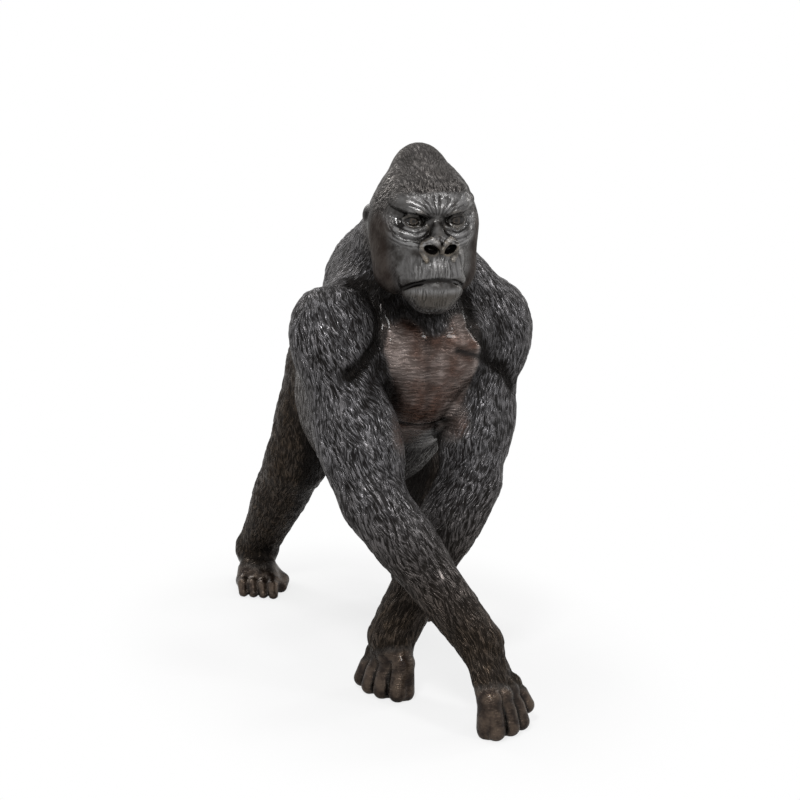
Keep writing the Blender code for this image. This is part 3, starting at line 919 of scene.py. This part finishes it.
def strands(kit, place, flow, across, short, seed, cell):
    """Strokes of one layer of hair and how far the layer counts at each point."""
    shifted = kit.vector("ADD", place, (seed * 0.37, seed * 0.71, seed * 0.13))
    cells = kit.add("ShaderNodeTexVoronoi", {"feature": "F1"}, Vector=shifted, Scale=1 / cell)
    local = kit.vector("SUBTRACT", shifted, cells.outputs["Position"])
    chance = kit.add("ShaderNodeSeparateXYZ", Vector=cells.outputs["Color"])
    along = kit.vector("DOT_PRODUCT", local, flow)
    aside = kit.vector("DOT_PRODUCT", local, across)
    lean = kit.times(kit.math("SUBTRACT", chance.outputs[0], 0.5), 0.8)
    aside = kit.math("ADD", aside, kit.times(along, lean))
    spot = kit.add(
        "ShaderNodeCombineXYZ",
        X=kit.times(aside, kit.ramp(short, 0, 1, 1 / STROKE_WIDTH, 1 / SHORT_STROKE_WIDTH)),
        Y=kit.times(along, kit.ramp(short, 0, 1, 1 / STROKE_LENGTH, 1 / SHORT_STROKE_LENGTH)),
        Z=kit.times(chance.outputs[1], 37.0),
    )
    strokes = kit.noise(spot.outputs[0], 1.0, 1.5)
    weight = kit.ramp(cells.outputs["Distance"], 0.75, 0.15)
    return strokes, kit.math("ADD", weight, 0.02)


def hair(kit, place, flow, across, short):
    """Height of the hair strokes, from 0 in the recesses to 1 on the ridges."""
    total, weights = None, None
    for seed, cell in ((1, 0.040), (5, 0.047), (9, 0.035)):
        strokes, weight = strands(kit, place, flow, across, short, seed, cell)
        part = kit.times(strokes, weight)
        total = part if total is None else kit.math("ADD", total, part)
        weights = weight if weights is None else kit.math("ADD", weights, weight)
    return kit.ramp(kit.math("DIVIDE", total, weights), 0.41, 0.61)


def skin_lines(kit, place):
    """Fine wavy lines that run across the skin."""
    stretched = kit.vector("MULTIPLY", place, (38.0, 38.0, 210.0))
    wobble = kit.add("ShaderNodeCombineXYZ", Z=kit.noise(place, 30.0)).outputs[0]
    lifted = kit.vector("ADD", stretched, kit.vector("MULTIPLY", wobble, (0, 0, 3.0)))
    return kit.ramp(kit.noise(lifted, 1.0, 2.0, 0.55), 0.36, 0.62)


def face_wrinkles(kit, place, mark, patch):
    """Finest wrinkles of the face, along the lines of the attribute across_lines."""
    waver = kit.times(kit.noise(place, 26.0), 5.0)
    across = kit.math("ADD", mark["across_lines"], kit.times(waver, 0.6))
    spot = kit.add("ShaderNodeCombineXYZ", X=across, Y=waver)
    wrinkles = kit.ramp(kit.noise(spot.outputs[0], 0.85, 1.5), 0.60, 0.38)
    return kit.times(wrinkles, kit.times(mark["lined"], kit.ramp(patch, 0.0, 1.0, 0.30, 1.0)))


def hair_colour(kit, mark, ridge, patch):
    """Black in the recesses, rubbed to grey on the ridges, browner at the jaw; browner and much darker low
    down, at the back and under the trunk, partly painted shade.
    """
    dark = kit.mix(mark["brown_and_shade"], (0.0050, 0.0047, 0.0047, 1), (0.006, 0.0040, 0.0025, 1))
    # browner tone and painted shade: the rubbed ridges turn much darker low down, at the back and under the
    # trunk
    light = kit.mix(mark["brown_and_shade"], (0.215, 0.211, 0.222, 1), (0.062, 0.045, 0.032, 1))
    light = kit.mix(kit.times(patch, 0.35), light, (0.066, 0.059, 0.056, 1))
    light = kit.mix(kit.times(mark["short"], 0.6), light, (0.115, 0.101, 0.086, 1))
    jaw = kit.mix(patch, DARK_BROWN, (0.052, 0.042, 0.036, 1))
    return kit.mix(kit.times(mark["jaw"], 0.85), kit.mix(ridge, dark, light), jaw)


def skin_colour(kit, place, mark, wrinkles, lines, patch):
    """Grey on the face, red-brown on the chest, brown on the hands; a painted highlight between the face's
    wrinkles and painted shade in the lines of face, chin and chest.
    """
    face = kit.mix(patch, (0.025, 0.022, 0.020, 1), (0.118, 0.115, 0.113, 1))
    # painted highlight: the skin between the fine wrinkles of the face is made light grey
    raised = kit.math("SUBTRACT", mark["lined"], wrinkles)
    face = kit.mix(kit.math("MULTIPLY", raised, 0.85, clamp=True), face, (0.285, 0.281, 0.281, 1))
    # painted shade: the fine wrinkles of the face are made almost black
    face = kit.mix(kit.times(wrinkles, 0.80), face, (0.008, 0.007, 0.006, 1))
    # painted shade: the chin darker in its wrinkles
    chin = kit.mix(wrinkles, (0.046, 0.036, 0.025, 1), (0.010, 0.008, 0.006, 1))
    face = kit.mix(kit.times(mark["chin"], 0.8), face, chin)
    blotch = kit.ramp(kit.noise(place, 11.0, 3.0, 0.6), 0.35, 0.65)
    chest = kit.mix(blotch, (0.092, 0.048, 0.034, 1), (0.275, 0.226, 0.207, 1))
    # painted shade: the lines across the chest darker
    chest = kit.mix(kit.times(lines, 0.6), chest, (0.030, 0.018, 0.013, 1))
    hand = kit.mix(patch, DARK_BROWN, (0.085, 0.061, 0.045, 1))
    return kit.mix(mark["hand"], kit.mix(mark["chest"], face, chest), hand)


def worn_and_shaded(kit, mark, colour, patch):
    """Worn bronze on the edges, painted shade in the hollows and creases, and the eyes with a black pupil
    painted as shade.
    """
    worn = kit.times(mark["edge"], kit.math("ADD", 0.10, kit.times(patch, 0.60)))
    colour = kit.mix(worn, colour, (0.205, 0.168, 0.122, 1))
    # painted shade: near black in hollows, folds, nostrils, the mouth, eye sockets, under the trunk and in
    # the face's creases
    deep = kit.math("ADD", kit.times(mark["painted_shade"], 0.95), kit.times(mark["crease"], 0.42), clamp=True)
    colour = kit.mix(deep, colour, (0.005, 0.004, 0.0035, 1))
    eyeball = kit.mix(mark["iris"], (0.005, 0.004, 0.004, 1), (0.036, 0.027, 0.020, 1))
    # painted shade: the pupil is black in place of a hole, with a thin dark ring round the iris
    eyeball = kit.mix(mark["pupil_shade"], eyeball, (0.002, 0.002, 0.002, 1))
    return kit.mix(mark["eye"], colour, eyeball)


def bump(kit, mark, strokes, wrinkles, lines, pores, loud):
    """Fine relief of hair strokes, pores and wrinkles; the eyeballs stay smooth."""
    bare = kit.math("SUBTRACT", 1.0, mark["fur"])
    deep = kit.ramp(mark["short"], 0, 1, STROKE_HEIGHT, SHORT_STROKE_HEIGHT)
    height = kit.times(kit.times(kit.times(strokes, mark["fur"]), deep), loud)
    grain = kit.times(kit.times(pores, bare), 0.0008)
    crossing = kit.times(lines, kit.math("MAXIMUM", mark["chest"], kit.times(mark["hand"], 0.8)))
    total = kit.math("ADD", height, kit.math("ADD", grain, kit.times(crossing, -0.0010)))
    total = kit.math("SUBTRACT", total, kit.times(kit.times(wrinkles, bare), 0.0015))
    total = kit.times(total, kit.math("SUBTRACT", 1.0, mark["eye"]))
    return kit.add("ShaderNodeBump", Height=total, Distance=1.0, Strength=1.0).outputs["Normal"]


def bronze():
    material = bpy.data.materials.new("bronze_patina_and_painted_light")
    kit = Nodes(material)
    place = kit.add("ShaderNodeTexCoord").outputs["Object"]
    flow = kit.attribute("flow").outputs["Vector"]
    across = kit.vector("CROSS_PRODUCT", kit.attribute("outward").outputs["Vector"], flow)
    mark = {name: kit.attribute(name).outputs["Fac"] for name in MARKS}
    fur, eye, calm = mark["fur"], mark["eye"], mark["calm"]
    strokes = hair(kit, place, flow, across, mark["short"])
    patch = kit.ramp(kit.noise(place, 34.0, 3.0, 0.6), 0.35, 0.65)
    pores = kit.noise(place, 240.0, 3.0, 0.65)
    lines = skin_lines(kit, place)
    wrinkles = face_wrinkles(kit, place, mark, patch)
    loud = kit.math("SUBTRACT", 1.0, calm)
    ridge = kit.math("ADD", kit.times(strokes, 0.88), kit.times(mark["lock"], 0.12), clamp=True)
    ridge = kit.math("ADD", kit.times(ridge, loud), kit.times(calm, 0.24))

    skin_tone = skin_colour(kit, place, mark, wrinkles, lines, patch)
    colour = kit.mix(fur, skin_tone, hair_colour(kit, mark, ridge, patch))
    shader = kit.shader.inputs
    kit.plug(shader["Base Color"], worn_and_shaded(kit, mark, colour, patch))
    shader["Metallic"].default_value = 0.55
    shader["Specular IOR Level"].default_value = 0.25
    shader["Specular Tint"].default_value = (0.45, 0.43, 0.41, 1)
    rough = kit.mix_number(fur, kit.ramp(patch, 0, 1, 0.30, 0.16), kit.ramp(ridge, 0.1, 0.8, 0.55, 0.24))
    kit.plug(shader["Roughness"], kit.mix_number(eye, rough, 0.10))
    bare = kit.math("SUBTRACT", 1.0, fur)
    kit.plug(shader["Coat Weight"], kit.times(kit.math("MAXIMUM", eye, kit.times(bare, 0.32)), 0.50))
    shader["Coat Roughness"].default_value = 0.06
    kit.plug(shader["Normal"], bump(kit, mark, strokes, wrinkles, lines, pores, loud))
    return material


def shade_to_paint(spots, normals, masks, under):
    """Painted shade in hollows, folds, eye sockets, nostrils, mouth and under the trunk, from 0 to 1, from
    the free distance round each point.
    """
    face, half = face_points(spots)
    fur = furred(masks)
    # painted shade: darker the less free room there is round a point, up to 11 cm out, as between parts
    near, wide, far = [animal(spots + normals * reach) / reach for reach in (0.010, 0.045, 0.11)]
    dark = np.clip(1.15 - near, 0, 1) * 0.8 + np.clip(1.0 - wide, 0, 1) * 0.45
    dark += np.clip(0.85 - far, 0, 1) * 0.40
    # painted shade kept deep in the eye sockets, weaker on the rest of the face
    socket = 1 - step(lengths(half - EYE), 7.0, 11.0)
    dark *= 1 - 0.45 * masks["face"] * (1 - socket)
    nostril = 1 - step(egg(half, vec(5.7, -36, -17.2), (4.4, 7.0, 2.7), turned(20, 1)), -0.5, 0.4)
    slit = chain(np.column_stack([half[:, 0], half[:, 2], half[:, 1] * 0]), [
        ((0, -35.1, 0), 1.0),
        ((7.9, -35.8, 0), 1.0),
        ((13.7, -38, 0), 1.0),
        ((18.2, -40.9, 0), 0.9),
    ])
    # painted shade in the hollows of the bare skin
    dark += step(-curvature(spots), 60, 240) * (1 - fur) * 0.5
    # nostrils and the slit of the mouth painted black as shade
    dark += nostril + (1 - step(slit, -0.4, 0.5)) * (face[:, 1] < -15) * (lengths(face) < 60)
    # painted shade along the muscle folds and under the trunk
    dark += np.clip(folds(spots) / DEEPEST_FOLD, 0, 1) * 0.9 + under * (0.35 + 0.45 * fur)
    return np.clip(dark, 0, 1)


def wear(spots, normals, masks):
    """Rubbed edges of the bare skin, from 0 to 1, softer on the eyelids."""
    half = face_points(spots)[1]
    fur = furred(masks)
    thin = 1 + (animal(spots - normals * 0.008) - animal(spots)) / 0.008
    lids = 1 - step(lengths(half - EYE), 6.0, 8.5)
    sharp = step(curvature(spots), 70, 230) * (1 - lids * 0.6)
    worn = np.maximum(step(thin, 0.30, 0.75) * (1 - lids * 0.85), sharp)
    return worn * (1 - fur) * np.maximum(masks["face"], masks["hand"] * 0.6)


def marks(spots, normals):
    """The numbers at each vertex that the bronze reads, by name."""
    masks = regions(spots)
    fur = furred(masks)
    face, half = face_points(spots)
    whole, jaw = around_head(spots)
    x, y, z = spots.T
    # underside of the trunk, where painted shade and the darker brown go
    under = step(-z, -0.66, -0.60) * step(y, -0.26, -0.20) * step(0.16 - np.abs(x - 0.01), 0, 0.04)
    across_lines, lined = fine_lines(spots)
    gaze = lengths(half - (EYE + unit(vec(-0.12, -1, -0.02)) * 4.3))
    return {
        "fur": fur,
        "chest": masks["chest"],
        "hand": np.maximum(masks["hand"], masks["foot"]),
        "short": whole,
        "jaw": jaw * fur,
        "calm": fur * np.maximum(jaw * 0.8, whole * step(face[:, 2], 17, 27) * 0.6),
        "lock": np.clip(animal(spots) / 0.0026 + 0.35, 0, 1),
        # browner, and darker as painted shade, towards the back, low down and under the trunk
        "brown_and_shade": np.clip(step(y, 0.0, 0.30) + 1.0 - step(z, 0.18, 0.60) * 0.9 + under, 0, 1),
        # painted shade of hollows, folds, nostrils, mouth and the underside of the trunk
        "painted_shade": shade_to_paint(spots, normals, masks, under),
        "edge": wear(spots, normals, masks),
        "across_lines": across_lines,
        "lined": lined,
        "chin": masks["face"] * step(-face[:, 2], 41, 45),
        # creases of the face and rings round the eyes, darkened as painted shade
        "crease": np.clip(creases(spots) / 0.0018 + eye_rings(spots) * 0.25, 0, 1),
        "eye": 1 - step(lengths(half - EYE), 4.45, 4.9),
        # black pupil painted as shade, and a thin dark ring round the iris
        "pupil_shade": (1 - step(gaze, 0.9, 1.3)) + step(gaze, 2.4, 2.8) * (1 - step(gaze, 3.0, 3.5)) * 0.9,
        "iris": 1 - step(gaze, 2.4, 2.8),
    }


def dress():
    """The skin that replaces the plain model, brought to the middle of the model's box."""
    mesh = thinned(build_skin(), TRIANGLES)
    spots = coordinates(mesh)
    normals = normalised(slope(spots, 0.002))
    set_vector(mesh, "flow", hair_direction(spots, normals))
    set_vector(mesh, "outward", normals)
    for name, values in marks(spots, normals).items():
        set_number(mesh, name, values)
    mesh.polygons.foreach_set("use_smooth", np.ones(len(mesh.polygons), bool))
    low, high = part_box("gorilla")
    middle = (spots.min(axis=0) + spots.max(axis=0)) / 2
    for axis in (0, 1):
        spots[:, axis] += (low[axis] + high[axis]) / 2 - middle[axis]
    move(mesh, spots)
    mesh.materials.clear()
    mesh.materials.append(bronze())
    piece = bpy.data.objects.new("gorilla_skin", mesh)
    bpy.context.scene.collection.objects.link(piece)
    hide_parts("gorilla")
    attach(piece, "root")


# Studio

def floor():
    """Pale floor that keeps the soft shadow and turns white away from it."""
    mesh = bpy.data.meshes.new("floor")
    half = FLOOR_SIZE / 2
    corners = [(-half, -half, 0), (half, -half, 0), (half, half, 0), (-half, half, 0)]
    mesh.from_pydata(corners, [], [(0, 1, 2, 3)])
    plane = bpy.data.objects.new("floor", mesh)
    plane.location.z = -0.0005
    bpy.context.scene.collection.objects.link(plane)
    material = bpy.data.materials.new("pale_floor")
    kit = Nodes(material)
    kit.shader.inputs["Base Color"].default_value = (0.90, 0.90, 0.90, 1)
    kit.shader.inputs["Roughness"].default_value = 0.9
    kit.shader.inputs["Specular IOR Level"].default_value = 0.1
    white = kit.add("ShaderNodeEmission", Color=(1, 1, 1, 1), Strength=1.0)
    spread = kit.vector("MULTIPLY", kit.add("ShaderNodeTexCoord").outputs["Object"], (1.6, 1.0, 1.0))
    reach = kit.vector("LENGTH", spread)
    rays = kit.add("ShaderNodeLightPath")
    seen = kit.times(kit.ramp(reach, 0.70, 1.20, 0.76, 1.0), rays.outputs["Is Camera Ray"])
    mirrored = kit.math("MAXIMUM", rays.outputs["Is Glossy Ray"], rays.outputs["Is Transmission Ray"])
    share = kit.math("MAXIMUM", seen, kit.times(kit.ramp(reach, 0.6, 1.4), mirrored))
    blend = kit.add("ShaderNodeMixShader", Fac=share)
    kit.plug(blend.inputs[1], kit.shader.outputs[0])
    kit.plug(blend.inputs[2], white.outputs[0])
    kit.plug(kit.tree.nodes["Material Output"].inputs["Surface"], blend.outputs[0])
    mesh.materials.append(material)


def world():
    """White behind the animal and in its reflections, a plain soft light elsewhere."""
    studio = bpy.data.worlds.new("studio")
    bpy.context.scene.world = studio
    kit = Nodes(studio)
    rays = kit.add("ShaderNodeLightPath").outputs
    white = kit.math("MAXIMUM", rays["Is Camera Ray"], rays["Is Transmission Ray"])
    white = kit.math("MAXIMUM", white, rays["Is Glossy Ray"])
    background = kit.tree.nodes["Background"].inputs
    background["Color"].default_value = (1, 1, 1, 1)
    kit.plug(background["Strength"], kit.ramp(white, 0.0, 1.0, 0.28, 1.0))


def lamp(name, place, target, size, watts):
    data = bpy.data.lights.new(name, "AREA")
    data.shape = "RECTANGLE"
    data.size, data.size_y = size
    data.energy = watts
    item = bpy.data.objects.new(name, data)
    item.location = place
    item.rotation_euler = (Vector(target) - Vector(place)).to_track_quat("-Z", "Y").to_euler()
    bpy.context.scene.collection.objects.link(item)


def camera():
    """The photograph's viewing angle, at adult eye height."""
    data = bpy.data.cameras.new("camera")
    data.lens = 81.0
    data.sensor_width = 36.0
    item = bpy.data.objects.new("camera", data)
    item.location = (-1.1450, -4.3236, 1.428)
    down = math.radians(10)
    right, back = 0.2655, 0.9641
    ahead = Vector((right * math.cos(down), back * math.cos(down), -math.sin(down)))
    item.rotation_euler = ahead.to_track_quat("-Z", "Y").to_euler()
    bpy.context.scene.collection.objects.link(item)
    bpy.context.scene.camera = item


dress()
floor()
world()
lamp("key", (-1.2, -2.6, 3.0), (0, -0.2, 0.7), (0.6, 0.5), 60)
lamp("fill", (1.5, -2.8, 2.6), (0, -0.2, 0.7), (0.5, 0.5), 22)
lamp("top", (0.2, 0.2, 3.4), (0, 0, 0.7), (1.0, 1.0), 20)
lamp("front", (-0.7, -4.4, 2.0), (0, -0.4, 1.0), (0.3, 0.3), 16)
lamp("side", (3.2, 0.8, 2.2), (0, 0.1, 0.6), (0.8, 0.8), 20)
lamp("back", (-1.4, 2.8, 3.0), (0, 0.3, 0.7), (1.0, 1.0), 40)
camera()
bpy.context.scene.view_settings.view_transform = "Standard"
